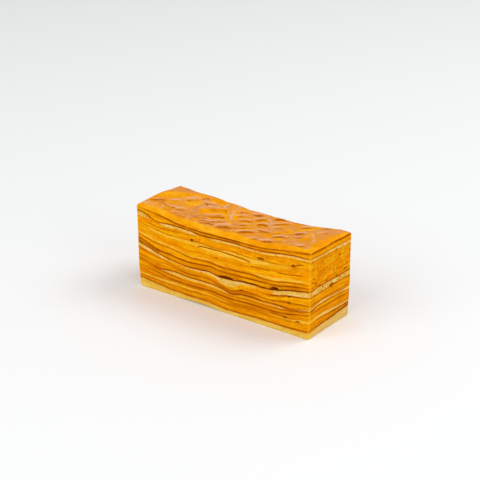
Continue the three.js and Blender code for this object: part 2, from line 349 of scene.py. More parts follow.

# %% [markdown]
# The top was pressed into shallow hollows, like overlapping scales, and baked. Each hollow
# falls steeply from a ridge at its far side, where the crust is toasted darkest and painted
# shade darkens the steep side, and climbs gently towards the next one. A film of dried
# batter covers the ridges, with a pale crown that is partly film and partly painted highlight,
# and leaves the hollows bright amber. Thin pale folds run between the rows, with painted shade
# on their near sides. Places are in mm from the middle of the bar, across the rows of hollows
# and along them; the rows lie slantwise to the bar.

# %% Hollows and folds of the top
PATTERN_SLANT = math.radians(36.8)
HOLLOWS = [
    # across, along, half width, half length, clear, dark (toast and painted shade below the ridge),
    # then arch and tilt if not 0
    (-66, 38, 3, 5, 0.6, 0),
    (-56, 39, 0.9, 2.4, 0.1, 0.5),
    (-42, 45.5, 15, 5.6, 1, 0.1, 1, 1),
    (-48.5, 31.5, 4.2, 2.6, 0.6, 0.4),
    (-35, 33, 5.2, 6.5, 0.8, 0.5, 1, 2.5),
    (-44, 17.5, 3.6, 2.8, 0.2, 0.6, 0, -0.5),
    (-46.5, 12, 4, 2.4, 0.3, 0.4, 0, -0.5),
    (-43.5, 6.5, 2.6, 3, 0.1, 0.4),
    (-31, -4, 3, 2.6, 0.3, 0.6),
    (-33, 4.5, 5, 2.4, 0.6, 0.4, 0, 0.5),
    (-27.5, 18, 4, 5, 0.7, 0.1, 0, 1),
    (-25.3, 29.5, 1, 4.5, 0, 0.8),
    (-16, 36.5, 5.6, 5, 1, 0.2, 0, -1),
    (-17.5, 17.5, 7, 5.8, 1, 0.4, 0, -1),
    (-11.5, 15, 1, 8, 0, 0.6),
    (-20, 7.5, 6, 3.4, 0.4, 0.7, 0.5),
    (-22, -4, 2.8, 4, 0.2, 0.95, 0.5),
    (-15, -2, 3.4, 3.4, 0.3, 0.75, 0.8),
    (-13.5, -12, 5, 4.5, 0.4, 0.95, 2.2),
    (-13.5, -18, 2.6, 2.6, 0.3, 0.75, 0.3, -0.5),
    (-8.7, -1.5, 1.2, 5, 0.7, 0.1),
    (-4.5, 17, 1.7, 7, 0.8, 0.1),
    (-1.5, 8, 4.6, 3.2, 0.7, 0.4, 0.5),
    (3, 22.5, 4, 3.6, 1, 0.1, 0.5),
    (2, 16.5, 4.2, 2.8, 0.2, 0.6, 0.5),
    (2, 0, 4.4, 3.4, 0.6, 0.7, 0.6),
    (1, -7.5, 4.4, 2.4, 0.3, 0.6, 0.6),
    (2.5, -12.5, 4.4, 3.4, 0.7, 0.2, 0.5),
    (3.5, -21, 6.2, 3.4, 0.5, 1, 1.2),
    (7.5, -34, 3.6, 2.8, 0.3, 0.7, 0.5),
    (12.5, 11.5, 4.2, 3, 0.2, 0.6, 0.5),
    (14.5, 2.5, 5.2, 3.8, 0.7, 0.7, 0.8),
    (15.3, -9, 3.8, 4.2, 0.4, 1, 2.6, -1.5),
    (15.5, -18.5, 4.2, 2.6, 0.2, 0.95, 0.3, -3),
    (18.5, -27, 2.4, 5, 0.8, 0.1),
    (16.5, -39, 4, 3, 0.3, 0.95, 0.6, -1.2),
    (23, 12, 2, 2.8, 0.6, 0.3),
    (28.5, 3.5, 4.4, 3.6, 0.5, 0.95, 0.8),
    (28, -6.5, 6, 3.6, 0.4, 0.75, 0.8),
    (25.8, -14.5, 3.2, 3.4, 0.4, 0.6, 0.8),
    (25.5, -21, 2.6, 5, 0.8, 0.1),
    (33, -20, 3, 5, 0.7, 0.1),
    (25.5, -33.5, 3.4, 4, 0.8, 0.5, 0.8),
    (31, -31, 1.6, 2, 0, 0.6),
    (27, -44, 4.2, 3.4, 0.6, 0.35, 0.5),
    (32.5, -53, 2.8, 3.4, 0.8, 0.1),
    (41, -4.5, 3.4, 3.4, 0.5, 0.5, 0.5, -1),
    (41, -27.5, 3.6, 2.8, 0.2, 0.8, 0.8),
    (39.5, -36, 2.8, 2.8, 0.2, 0.45, 0.5),
    (43.5, -38.5, 4, 4.5, 0.7, 0.2, 0.5),
    (46, -15.5, 4.2, 4, 0.6, 0.7, 0.8),
    (47.5, -30, 3, 3.5, 0.6, 0.1),
    (40.5, -56, 3.4, 2.4, 0.1, 0.5, 0.6, -1),
    (62, -19.5, 4, 2.4, 0.1, 0.5, 0.5, -0.5),
]
FOLDS = [
    # pale (film and painted highlight), dark (painted shade on the near side), half width, places
    # (across, along) from end to end
    (0.6, 0.5, 1.3, ((-67, 35.4), (-58.8, 34.8), (-49, 36.2), (-39.5, 38.8), (-26, 44.2))),
    (0.6, 0.6, 1.2, ((-58.6, 30.7), (-52.6, 26.5), (-46.2, 22.9), (-42, 18), (-37.6, 13.4))),
    (0.5, 0.5, 1, ((-55.2, 16.4), (-50, 15.4), (-43.8, 15.4), (-38.6, 13.3))),
    (0.7, 0.6, 1.1, ((-24.4, 43.8), (-26.8, 36.6), (-31.3, 27.7), (-34.8, 23.1), (-36.6, 14.9))),
    (0.6, 0.2, 1.3, ((-25.5, 26), (-31.1, 21), (-36.5, 13.6))),
    (0.6, 0.1, 1.1, ((-37.6, 13.4), (-38.4, 8), (-40.2, 1))),
    (0.8, 0.7, 1.6, ((-23.6, 34), (-21, 32), (-16.7, 29.2), (-11, 29), (-7.3, 33.5))),
    (0.9, 0.1, 1.2, ((0, 29.6), (-3.6, 23.5), (-6.1, 16.2), (-7.6, 7.7))),
    (0.6, 0, 1.3, ((-7.6, 7.7), (-7.1, -4), (-6.5, -22))),
    (0.6, 0.4, 0.9, ((-7.3, 28), (-8.6, 20), (-8.4, 11))),
    (0.5, 0.7, 1.3, ((-36.3, 8.3), (-30.8, 11), (-25, 11.4), (-18.4, 10.8), (-13.2, 10.3))),
    (0.2, 0.6, 0.9, ((-36, 5.4), (-30, 6.2), (-25, 7.6))),
    (0.6, 0.7, 1.2, ((-35.7, 2.6), (-28, 3.4), (-22.9, 2.4), (-12.7, 2))),
    (0.3, 0.6, 0.9, ((-33.5, -1.6), (-28, -1.2))),
    (0.5, 1, 1, ((-25.5, -2), (-22.4, -0.8), (-19, -3.4))),
    (0.6, 1, 1.1, ((-19.6, -10), (-15.6, -7), (-11, -6.4), (-8.4, -8))),
    (0.3, 0.9, 0.9, ((-18.5, -11.6), (-14.4, -15), (-11.2, -18))),
    (0.6, 0.1, 0.9, ((-57.2, 25.3), (-59.4, 16.5))),
    (0.6, 0.1, 2.6, ((-70, 29), (-62, 27.2))),
    (0.5, 0.2, 2.2, ((-51, 55), (-44.4, 55.5), (-36, 54))),
    (0.45, 0, 1.2, ((8.5, 12), (8.8, 0), (10.2, -13), (11.4, -34))),
    (0.75, 0, 1.2, ((20, 10), (20.8, -4), (21.2, -14), (20.6, -24))),
    (0.7, 0.4, 0.9, ((10.5, -24.6), (12, -23.4), (15.4, -29), (19.6, -36))),
    (0.6, 0.7, 1, ((21.4, -29.4), (25.9, -26.4), (30.8, -29.4))),
    (0.5, 0.2, 0.9, ((34.2, -19.8), (38.7, -22.8), (45, -25.6))),
    (0.5, 0.3, 1, ((35, -30.6), (39, -31.6), (45, -33.2))),
    (0.5, 0.1, 0.9, ((33.4, -6), (33.8, -22), (37, -36))),
    (0.6, 0.2, 1.1, ((27, -48.4), (32, -46.4), (35.6, -43))),
    (0.8, 0.5, 1.3, ((36.4, -47.6), (41.4, -51.4), (45.4, -59.4))),
    (0.5, 0.2, 1, ((41, -60), (46, -62.6))),
    (0.65, 0, 1.7, ((49, -29), (49.6, -38), (48.8, -48))),
    (0.7, 0, 4, ((54, -25.5), (64, -28))),
    (0.5, 0, 1.6, ((67.5, -22), (67.5, -32))),
]
SPREAD = 1.12
CLEAR = {"at": -0.2, "reach": 0.9}
CREST = {"at": 1.45, "reach": 0.42, "side": 1.5, "share": 1.1}
# level, and reaches below and above it
SHADE = (0.75, 0.8, 0.22)
DIP = (0.5, 1.4, 0.45)
LEAST_DIP = 0.3
FOLD_SHADE = {"below": 2.0, "wide": 1.0, "tone": 1.4}
FIBRE_CELL = (5.0, 1.3)
FIBRE = ((0.6, 1.0, 17), (0.4, 0.5, 18))
WRINKLES = (1.0, 1.3, 19)
WRINKLE = {"above": 0.25, "dark": 1.1}
SWAY_ACROSS = ((0.7, 6.0, 11), (0.3, 2.5, 15))
SWAY_ALONG = ((1.2, 7.0, 12), (0.6, 2.5, 16))
BREAKS = (0.45, 4.0, 20)
WHOLE_FOLD = 0.75
FILM_DRIFT = (0.25, 10.0, 13)
FILM = {"mean": 0.7, "clear": 1.5, "fibre": 0.3, "fold": 0.3}
CROWN_FIBRE = 0.3
CRESCENT = {"fold": 0.8, "fibre": 0.12}
HIGH = {"shade": 0.6, "filled": 0.7, "fold": 0.25, "fibre": 0.1}


def ramp(value, start, end):
    """0 before start, 1 after end, smooth between them."""
    share = np.clip((value - start) / (end - start), 0, 1)
    return share * share * (3 - 2 * share)


def hill(distance, reach):
    """1 at distance 0, fading to nothing over about two reaches."""
    return np.exp(-((distance / reach) ** 2))


def lopsided(level, at, below, above):
    """A hill at one level with one reach below it and another above."""
    return hill(level - at, np.where(level > at, above, below))


def distance_to(places, across, along):
    """Distance in mm from points of the top to a line through places."""
    nearest = np.full(len(across), np.inf)
    for start, stop in zip(places[:-1], places[1:]):
        step = np.subtract(stop, start)
        share = ((across - start[0]) * step[0] + (along - start[1]) * step[1]) / (step @ step)
        share = np.clip(share, 0, 1)
        off = np.hypot(across - start[0] - share * step[0], along - start[1] - share * step[1])
        nearest = np.minimum(nearest, off)
    return nearest


def fold_marks(across, along):
    """How pale the folds are, film with a painted highlight, and how dark the painted shade on
    their near sides is.
    """
    pale, dark = np.zeros((2, len(across)))
    for light, shaded, wide, places in FOLDS:
        pale = np.maximum(pale, light * hill(distance_to(places, across, along), wide))
        # Painted shade along the near side of each fold.
        below = distance_to(places, across, along + FOLD_SHADE["below"])
        dark = np.maximum(dark, shaded * hill(below, FOLD_SHADE["wide"]))
    return pale, dark


def hollow_marks(across, along):
    """Where hollows are clear of film, where toast and painted shade darken them, where a ridge
    stands, and how deep.
    """
    clear, dark, ridge, dip = np.zeros((4, len(across)))
    for at, place, wide, long, bright, shaded, *bend in HOLLOWS:
        arch, tilt, *_ = (*bend, 0, 0)
        side = (across - at) / (SPREAD * wide)
        level = (along - place - arch * (1 - side**2) - tilt * side) / long
        span = hill(side**2, 1.0)
        bare = hill((level - CLEAR["at"]) ** 2, CLEAR["reach"])
        clear = np.maximum(clear, bright * span * bare)
        # Painted shade, with some toast, on the steep side below each ridge.
        dark = np.maximum(dark, shaded * span * lopsided(level, *SHADE))
        crest = hill(side**2, CREST["side"]) * hill(level - CREST["at"], CREST["reach"])
        # The pale crest is partly film and partly a painted highlight.
        ridge = np.maximum(ridge, CREST["share"] * shaded**0.5 * crest)
        depth = LEAST_DIP + (1 - LEAST_DIP) * shaded
        dip = np.maximum(dip, depth * span * lopsided(level, *DIP))
    return clear, dark, ridge, dip


def top_pattern(x, y):
    """Height (0 low to 1 high) of the pressed pattern, with masks of the film, of the pale crown
    with its painted highlight, and of the crescent of toast and painted shade.
    """
    flat = on_plane(x, y)
    across = x * math.cos(PATTERN_SLANT) + y * math.sin(PATTERN_SLANT)
    along = y * math.cos(PATTERN_SLANT) - x * math.sin(PATTERN_SLANT)
    drawn = on_plane(across / FIBRE_CELL[0], along / FIBRE_CELL[1])
    fibre = waver(drawn, *FIBRE)
    wrinkle = np.clip(waver(drawn, WRINKLES) - WRINKLE["above"], 0, None)
    broken = WHOLE_FOLD + waver(flat, BREAKS)
    across = across + waver(flat, *SWAY_ACROSS)
    along = along + waver(flat, *SWAY_ALONG)
    clear, dark, ridge, dip = hollow_marks(across, along)
    fold, fold_dark = fold_marks(across, along)
    fold = fold * broken
    cover = FILM["mean"] + waver(flat, FILM_DRIFT)
    film = cover * (1 - FILM["clear"] * clear) + FILM["fibre"] * fibre + FILM["fold"] * fold
    # The pale crown, on ridges and folds, is partly film and partly a painted highlight.
    crown = np.maximum(fold, ridge) + CROWN_FIBRE * fibre
    # The crescent mask is toast with painted shade; it also takes the near sides of the folds and
    # the wrinkles of the film.
    crescent = np.maximum(dark, FOLD_SHADE["tone"] * fold_dark * broken)
    crescent = crescent * (1 - CRESCENT["fold"] * fold) - CRESCENT["fibre"] * fibre
    crescent += WRINKLE["dark"] * wrinkle * cover
    low = np.maximum(dip, HIGH["shade"] * fold_dark) * (1 - HIGH["filled"] * fold)
    high = 1 - low + HIGH["fold"] * fold + HIGH["fibre"] * fibre
    return high, np.clip(film, 0, 1), np.clip(crown, 0, 1), np.clip(crescent, 0, 1)


_, film, _, _ = top_pattern(np.linspace(-70, 70, 50), np.zeros(50))
print("hollows:", len(HOLLOWS), "folds:", len(FOLDS), "mean film:", film.mean().round(2))

# %% [markdown]
# The film of crust stops short of the front and right cut edges, where the knife has wiped
# it off, and the rim of the top is rounded. The corner at the back right is worn more. The
# width of the bare strip in mm is read by place along each edge, from the middle of the bar.

# %% Relief and masks of the top
RIM_DROP = 0.8
RIM_REACH = 2.4
WORN_CORNER = {"drop": 1.5, "reach": 11.0}
BARE_FRONT = {-77: 2.6, -66: 3.2, -55: 5, -46: 5.6, -36: 2.4, -25: 4.2, -17: 3.2, -8: 6.6, 2: 4.4,
    16: 4.6, 27: 3.2, 48: 4.6, 62: 3.2}
BARE_RIGHT = {-25: 4, -14: 5.6, 4: 6, 14: 3.6, 22: 1.5}
BARE_EDGE = {"from": -1.5, "to": 1.0}
RAGGED = (1.1, 4.0, 21)
BACK_EDGE = 0.8
LEFT_EDGE = 1.5
LEAST_RELIEF = 0.25
ROUGH_TOP = ((0.12, 4.0, 22), (0.05, 1.3, 23))


def between(readings, place):
    """Value between readings that are given by place."""
    return np.interp(place, list(readings), list(readings.values()))


def edge_margin(x, y):
    """0 along the bare edges of the top, 1 where the pattern is whole."""
    ragged = waver(on_plane(x, y), RAGGED)
    margin = ramp(DEPTH / 2 - y, 0.0, BACK_EDGE) * ramp(x + LENGTH / 2, 0.0, LEFT_EDGE)
    edges = ((y + DEPTH / 2, x, BARE_FRONT), (LENGTH / 2 - x, y, BARE_RIGHT))
    for inset, place, widths in edges:
        bare = between(widths, place) + ragged
        margin = margin * ramp(inset, bare + BARE_EDGE["from"], bare + BARE_EDGE["to"])
    return margin


def top_surface(u, v):
    """Relief in mm, and the masks of the film, of the pale crown with its painted highlight and of
    the crescent of toast and painted shade, at points of the plan.
    """
    x = (u - 0.5) * LENGTH
    y = (v - 0.5) * DEPTH
    high, film, crown, crescent = top_pattern(x, y)
    margin = edge_margin(x, y)
    relief = -TOP_RELIEF * (1 - high) * (LEAST_RELIEF + (1 - LEAST_RELIEF) * margin)
    inset = np.minimum(LENGTH / 2 - abs(x), DEPTH / 2 - abs(y))
    relief -= RIM_DROP * np.clip(1 - inset / RIM_REACH, 0, 1) ** 2
    corner = np.hypot(LENGTH / 2 - x, DEPTH / 2 - y)
    relief -= WORN_CORNER["drop"] * np.clip(1 - corner / WORN_CORNER["reach"], 0, 1) ** 2
    relief += waver(on_plane(x, y), *ROUGH_TOP)
    return relief, film * margin, crown * margin, crescent * margin


relief, _, _, _ = top_surface(np.linspace(0, 1, 60), np.full(60, 0.5))
print("relief along the middle:", relief.min().round(2), "to", relief.max().round(2), "mm")

# %% [markdown]
# How dark a layer browned, how pale its crumb stayed and where it toasted right through
# change along the bar. Each layer has a few readings, from the left end of the front (0) to
# its right end (1), and on to the back of the right end (1.2), because the waves of the
# batter lie slantwise. Pale crumb lies right below the skin; its depth in mm is read as well.
# In layer 8, a deep amber one, paleness only tells where its own deeper crumb shows. Two
# pale layers are painted greyer on the right end, as painted shade of that end.

# %% Browning and paleness along the bar
WAVE_DRIFT = 0.2
BROWNING = {
    1: {0: 0.55, 1: 0.6, 1.06: 0.7, 1.12: 0.9, 1.2: 1},
    2: {0: 0.35, 0.3: 0.4, 0.7: 0.3, 1: 0.3, 1.06: 0.4, 1.12: 0.7, 1.2: 0.9},
    3: {0: 0.25, 0.76: 0.3, 0.84: 0.75, 0.9: 0.4, 1: 0.25, 1.2: 0.35},
    4: {0: 0.3, 0.1: 0.5, 0.2: 0.7, 0.78: 0.7, 0.88: 0.85, 0.95: 0.5},
    5: {0: 0.4, 0.15: 0.5, 0.3: 0.3, 0.8: 0.35, 0.9: 0.6, 1: 0.5, 1.2: 0.3},
    6: {0: 0.5, 0.15: 0.8, 0.85: 0.9, 0.94: 0.5, 0.97: 0.2, 1: 0.35, 1.2: 0.4},
    7: {0: 0.4, 0.12: 0.2, 0.3: 0.6, 0.7: 0.55, 1: 0.45, 1.2: 0.3},
    8: {0: 0.5, 0.25: 0.25, 0.62: 0.1, 0.72: 0.15, 0.8: 0.7, 0.92: 0.6, 1: 0.5, 1.2: 0.6},
    9: {0: 0.9, 0.3: 0.85, 0.5: 1.3, 0.6: 1.3, 0.72: 1, 0.8: 1.3, 0.95: 1.25, 0.985: 0.7, 1: 0.6,
        1.2: 0.75},
    10: {0: 0.9, 0.2: 0.85, 0.35: 0.7, 0.93: 0.8, 0.99: 0.25, 1.2: 0.2},
    11: {0: 0.35, 0.4: 0.5, 0.5: 0.8, 0.65: 0.6, 0.94: 0.5, 1: 0.1},
    12: {0: 0.05},
    13: {0: 0.1, 0.5: 0.3, 1: 0.1, 1.2: 0.2},
    14: {0: 0.1},
    15: {0: 0.3, 0.35: 0.45, 0.7: 0.4, 1: 0.2, 1.2: 0.1},
    16: {0: 0.2, 1: 0.25, 1.2: 0.2},
    17: {0: 0.85, 0.07: 0.8, 0.12: 0.45, 0.18: 0.8, 0.6: 0.95, 0.9: 0.8, 1: 0.5, 1.2: 0.3},
    18: {0: 0.2, 0.1: 0.35, 0.15: 0.7, 0.6: 0.85, 0.8: 0.5, 0.93: 0.5, 1: 0.7, 1.2: 0.65},
}
PALENESS = {
    3: {0: 0.6, 0.12: 1, 0.2: 0.7, 0.28: 0.35, 0.44: 0.15, 0.52: 0.2, 0.6: 0, 0.78: 0.2,
        0.96: 0.8, 1.01: 0.4, 1.05: 1},
    6: {0.1: 0, 0.13: 1, 0.53: 1, 0.57: 0.3, 0.72: 0.5, 0.84: 0.9, 0.9: 0.3, 0.95: 1},
    8: {0.8: 0, 0.95: 0.4, 1.02: 1},
    9: {0.18: 1, 0.23: 0.6, 0.3: 0.6, 0.36: 1, 0.64: 1, 0.7: 0.5, 0.73: 0.2, 0.78: 0.1, 0.81: 1,
        1.2: 0.9},
    12: {0: 0.9, 0.25: 0.8, 0.36: 0.8, 0.44: 0.3, 0.62: 0.2, 0.74: 0.9, 0.93: 1, 1: 0.1},
    15: {0: 0.05, 0.05: 0.15, 0.09: 1, 0.35: 1, 0.4: 0.8, 0.7: 1, 0.84: 0.8, 0.91: 0.2, 1: 0.05},
    17: {0: 1, 0.06: 0.9, 0.085: 0, 0.13: 0, 0.155: 1, 0.35: 1, 0.38: 0.1, 0.42: 0.1, 0.47: 1,
        0.66: 1, 0.72: 0.7, 0.8: 0.7, 0.86: 1},
}
TOAST = {
    2: {1.04: 0, 1.08: 0.2, 1.12: 0.7, 1.16: 0.4, 1.2: 0},
    3: {0.4: 0, 0.5: 0.2, 0.58: 0.9, 0.7: 0.9, 0.8: 0.2, 0.9: 0},
    4: {0.14: 0, 0.2: 0.5, 0.28: 0.1, 0.6: 0.1, 0.68: 0.4, 0.76: 0.2, 0.84: 0.7, 0.9: 0},
    7: {0.05: 0.3, 0.1: 0, 0.44: 0.1, 0.52: 0.9, 0.68: 0.9, 0.74: 0.1, 1: 0},
    8: {0.12: 0, 0.2: 0.2, 0.28: 0.7, 0.36: 0.4, 0.46: 0.3, 0.52: 0.6, 0.57: 0},
    10: {0: 0.1, 0.12: 0.6, 0.2: 0.4, 0.52: 0.6, 0.6: 0.9, 0.66: 0, 0.92: 0.9, 1: 0.2},
    11: {0.45: 0, 0.52: 0.5, 0.6: 0.3, 0.66: 0, 0.84: 0.3, 0.9: 0},
    12: {0.5: 0, 0.55: 0.3, 0.62: 0},
    13: {1.02: 0, 1.05: 0.5, 1.09: 0.2, 1.12: 0},
    14: {0.14: 0.2, 0.2: 0, 0.68: 0, 0.76: 0.4, 0.84: 0, 1.05: 0, 1.1: 0.25},
    15: {0.88: 0, 0.92: 0.6, 0.96: 0},
    16: {0.7: 0, 0.76: 0.4, 0.8: 0, 0.9: 0.2, 0.96: 0.2, 1.01: 0.3},
}
# Painted shade: two pale layers turn greyer on the right end.
END_SHADE = {
    1: {0.99: 0, 1.02: 0.28, 1.12: 0.35},
    3: {1.03: 0, 1.07: 0.26},
}
PALE_DEPTH = {
    3: {0: 2.6, 1: 3.2, 1.2: 3.6},
    6: {0: 1.2, 0.13: 2, 0.3: 2.4, 0.53: 1.5, 0.8: 1.6, 1: 3.4, 1.2: 3.6},
    8: {0: 9},
    9: {0: 3, 0.12: 2.4, 0.22: 1.2, 0.33: 1.6, 0.47: 2, 0.51: 5, 0.58: 5.2, 0.62: 2.2, 0.78: 2.2,
        0.81: 3.4, 1: 5, 1.2: 5.6},
    12: {0: 2},
    15: {0: 2.2, 0.35: 3, 0.4: 5.5, 0.66: 5, 0.72: 3.4, 1.2: 2},
    17: {0: 4.4, 0.06: 3.4, 0.2: 2.3, 0.35: 2.2, 0.6: 1.8, 0.9: 1.8, 1: 2.2, 1.2: 2.6},
}


def reading(table, layer, u, v):
    """Value of a table for one layer at points of the plan, 0 where it has no readings."""
    return between(table.get(layer, {0: 0}), u + WAVE_DRIFT * v)


print("layers with pale crumb that fades:", sorted(PALENESS))

# %% [markdown]
# Baking leaves bubbles, and the knife tears some of them open. Each hole is set by its side,
# its place along that side, the layer it lies in and its share of that layer's height, and
# by its half width, half height and depth in mm. The long flat ones are where a layer has
# parted from the browned skin below it. The two cut faces that the camera can't see get as
# many holes as the front and the right end, from a seeded draw.

# %% Holes in the cut faces
FRONT, RIGHT, BACK, LEFT = range(4)
SIDE_LENGTHS = (LENGTH, DEPTH, LENGTH, DEPTH)
HOLES = {
    # along, layer, share, wide, tall, deep
    FRONT: [
        (0.333, 16, 0.05, 1.5, 1.2, 1.6),
        (0.475, 13, 0.95, 1, 0.5, 1),
        (0.725, 16, 0.25, 3.4, 0.7, 2),
        (0.905, 16, 0.12, 1.3, 0.8, 1.8),
        (0.803, 10, 0.22, 3.2, 1.1, 3),
        (0.885, 8, 0.85, 1.3, 0.8, 1.6),
        (0.885, 7, 0.9, 1.4, 0.7, 1.6),
        (0.62, 7, 1, 1.8, 0.45, 1),
        (0.865, 3, 0.8, 2.2, 0.6, 1.4),
        (0.935, 3, 0.2, 2.2, 0.5, 1.2),
        (0.53, 10, 0.13, 6, 0.85, 2.6),
        (0.65, 10, 0.05, 7.5, 0.35, 1.2),
        (0.015, 10, 0.05, 3, 0.4, 1),
    ],
    RIGHT: [
        (0.71, 16, 0.11, 1.2, 0.9, 1.6),
        (0.09, 13, 0.3, 1.1, 0.6, 1.2),
        (0.07, 12, 0.25, 1, 0.5, 0.9),
        (0.14, 11, 0.6, 1.4, 0.7, 1.6),
        (0.24, 10, 0.15, 1.3, 0.6, 1.5),
        (0.4, 10, 0.3, 1, 0.5, 1),
        (0.65, 10, 0.3, 1.4, 0.5, 1.2),
        (0.87, 10, 0.8, 1.6, 0.9, 1.6),
        (0.53, 8, 0.95, 2.6, 1.4, 2.4),
        (0.07, 5, 0.5, 1.6, 0.6, 1.2),
    ],
}
UNSEEN_HOLES = {BACK: 12, LEFT: 9}
UNSEEN = {"wide": (0.9, 3.2), "tall": (0.45, 1.1), "along": (0.04, 0.96), "deep": 1.5}
SIDE_SEED = 100


def drawn_holes(side, count):
    """Holes of like size and spread for a side that isn't shown."""
    rng = np.random.default_rng(NOISE_SEED + SIDE_SEED + side)
    holes = []
    for _ in range(count):
        wide = rng.uniform(*UNSEEN["wide"])
        tall = rng.uniform(*UNSEEN["tall"])
        layer = int(rng.integers(3, LAYER_COUNT - 2))
        along = rng.uniform(*UNSEEN["along"])
        holes.append((along, layer, rng.uniform(0, 1), wide, tall, UNSEEN["deep"]))
    return holes


for side, count in UNSEEN_HOLES.items():
    HOLES[side] = drawn_holes(side, count)


def nearest_side(u, v):
    """For points of the plan: the nearest side, the place along it, and the inset in mm."""
    insets = np.stack([v * DEPTH, (1 - u) * LENGTH, (1 - v) * DEPTH, u * LENGTH])
    side = insets.argmin(axis=0)
    return side, np.where(side % 2 == 0, u, v), insets.min(axis=0)


def hole_depths(side, along, z, heights):
    """Depth in mm of the holes at points of the walls, and how much painted shade they get (0 to
    1).
    """
    depth, dark = np.zeros((2, len(z)))
    for hole_side, holes in HOLES.items():
        for at, layer, share, wide, tall, deep in holes:
            middle = heights[layer - 1] + share * (heights[layer] - heights[layer - 1])
            across = (along - at) * SIDE_LENGTHS[hole_side] / wide
            shape = hill(across**2 + ((z - middle) / tall) ** 2, 1.0) * (side == hole_side)
            depth = np.maximum(depth, deep * shape)
            dark = np.maximum(dark, shape)
    return depth, dark


print("holes:", sum(len(holes) for holes in HOLES.values()))

# %% [markdown]
# Here and there a thin brown line runs inside a layer. A crease is a line on one side, set by
# places along the side and heights in mm.

# %% Creases inside layers
CREASES = {
    # strength, then heights by place, from end to end
    FRONT: [
        (0.75, {0.37: 44.9, 0.385: 46.1, 0.41: 46.5, 0.46: 46.7, 0.51: 46.9, 0.58: 46.7,
            0.63: 46.3, 0.672: 45.2}),
        (0.8, {0.895: 51.9, 0.915: 52.4, 0.935: 53.8, 0.96: 54.9}),
        (0.5, {0.67: 42.6, 0.78: 43.3}),
        (0.5, {0.825: 43.8, 0.9: 45, 0.96: 47}),
        (0.45, {0.07: 52.6, 0.16: 50.9, 0.27: 51.4}),
        (0.4, {0.03: 14.6, 0.1: 12.4, 0.22: 11.6}),
        (0.8, {0: 37.3, 0.05: 35.3, 0.1: 33.1, 0.14: 31.9}),
        (0.9, {0.925: 19.6, 0.95: 19.2}),
    ],
    RIGHT: [
        (0.45, {0.1: 38.6, 0.3: 39.4, 0.45: 38.9}),
        (0.4, {0.55: 43, 0.75: 41.9, 0.93: 42.4}),
        (0.4, {0.2: 47.3, 0.42: 48.1}),
    ],
    BACK: [
        (0.6, {0.2: 46.4, 0.3: 47.2, 0.42: 47, 0.5: 45.9}),
        (0.5, {0.62: 39.6, 0.74: 40.6, 0.83: 40.2}),
    ],
    LEFT: [
        (0.5, {0.25: 42, 0.45: 42.9, 0.7: 42.3}),
    ],
}
NO_CREASE = 9.0
CREASE_FADE = 0.012


def crease_marks(side, along, z):
    """Height above the nearest crease of a side in mm, and how strong that crease is."""
    above = np.full(len(z), NO_CREASE)
    strength = np.zeros(len(z))
    for crease_side, creases in CREASES.items():
        for strong, places in creases:
            at = list(places)
            fade = ramp(along, at[0] - CREASE_FADE, at[0] + CREASE_FADE)
            fade = fade * ramp(along, at[-1] + CREASE_FADE, at[-1] - CREASE_FADE)
            distance = z - between(places, along)
            nearer = (side == crease_side) & (fade > 0) & (abs(distance) < abs(above))
            above = np.where(nearer, distance, above)
            strength = np.where(nearer, strong * fade, strength)
    return above, strength


print("creases:", sum(len(creases) for creases in CREASES.values()))

# %% [markdown]
# A knife leaves the crumb almost flat, but not quite: the walls waver a little, firmer and
# softer layers stand proud or hollow, the browned skins sink in as fine grooves, and the
# edges are slightly rounded. All of it is one depth, measured inwards, so two layers that
# share a boundary are moved alike and stay closed.

# %% Depth of the cut walls
CORNER_RADIUS = 1.2
WALL_DEPTH = 0.2
ROUGH_WALL = ((0.22, 15.0, 31), (0.07, 1.1, 33))
LEDGES = (0.12, 2.2, 32)
LEDGE_STRETCH = (0.2, 0.2, 1.0)
GROOVE = {"deep": 0.15, "tall": 0.45}
UPPER_EDGE = {"deep": 0.5, "tall": 1.4}
LOWER_EDGE = {"deep": 0.4, "tall": 1.0}
WALL_FADE = 9.0
ON_WALL = 1e-6
# Reach in mm of the painted highlight along the upright edges.
CORNER_HIGHLIGHT_REACH = 1.2


def edge_round(distance, edge):
    """Depth in mm that rounds a level edge, at a distance from it."""
    return edge["deep"] * np.clip(1 - distance / edge["tall"], 0, 1) ** 2


def wall_depth(points, u, v, z, heights):
    """Depth in mm by which the walls are moved in, and how much painted shade the holes get."""
    side, along, inset = nearest_side(u, v)
    depth = WALL_DEPTH + waver(points, *ROUGH_WALL) + waver(points * LEDGE_STRETCH, LEDGES)
    for layer in BROWNING:
        groove = GROOVE["deep"] * hill(z - heights[layer], GROOVE["tall"])
        depth += groove * reading(BROWNING, layer, u, v)
    holes, dark = hole_depths(side, along, z, heights)
    depth += holes + edge_round(heights[-1] - z, UPPER_EDGE) + edge_round(z, LOWER_EDGE)
    return depth * np.clip(1 - inset / WALL_FADE, 0, 1) ** 2, dark * (inset < ON_WALL)


def edge_distance(u, v):
    """Distance along the walls in mm to the nearest upright edge of the bar."""
    return np.maximum(np.minimum(u, 1 - u) * LENGTH, np.minimum(v, 1 - v) * DEPTH)


def outward(x, y, end_x, side):
    """Rounds the upright corners and returns the new x, y and the outward direction."""
    over_x = np.sign(end_x) * (x - end_x) + CORNER_RADIUS
    over_y = abs(y) - DEPTH / 2 + CORNER_RADIUS
    corner = (over_x > 0) & (over_y > 0)
    reach = np.where(corner, np.hypot(over_x, over_y), 1)
    squeeze = np.where(corner, np.maximum(over_x, over_y) / reach, 1)
    new_x = np.where(corner, x + np.sign(end_x) * over_x * (squeeze - 1), x)
    new_y = np.where(corner, y + np.sign(y) * over_y * (squeeze - 1), y)
    straight_x = np.choose(side, [0, 1, 0, -1])
    straight_y = np.choose(side, [-1, 0, 1, 0])
    normal_x = np.where(corner, np.sign(x) * over_x / reach, straight_x)
    normal_y = np.where(corner, np.sign(y) * over_y / reach, straight_y)
    return new_x, new_y, normal_x, normal_y


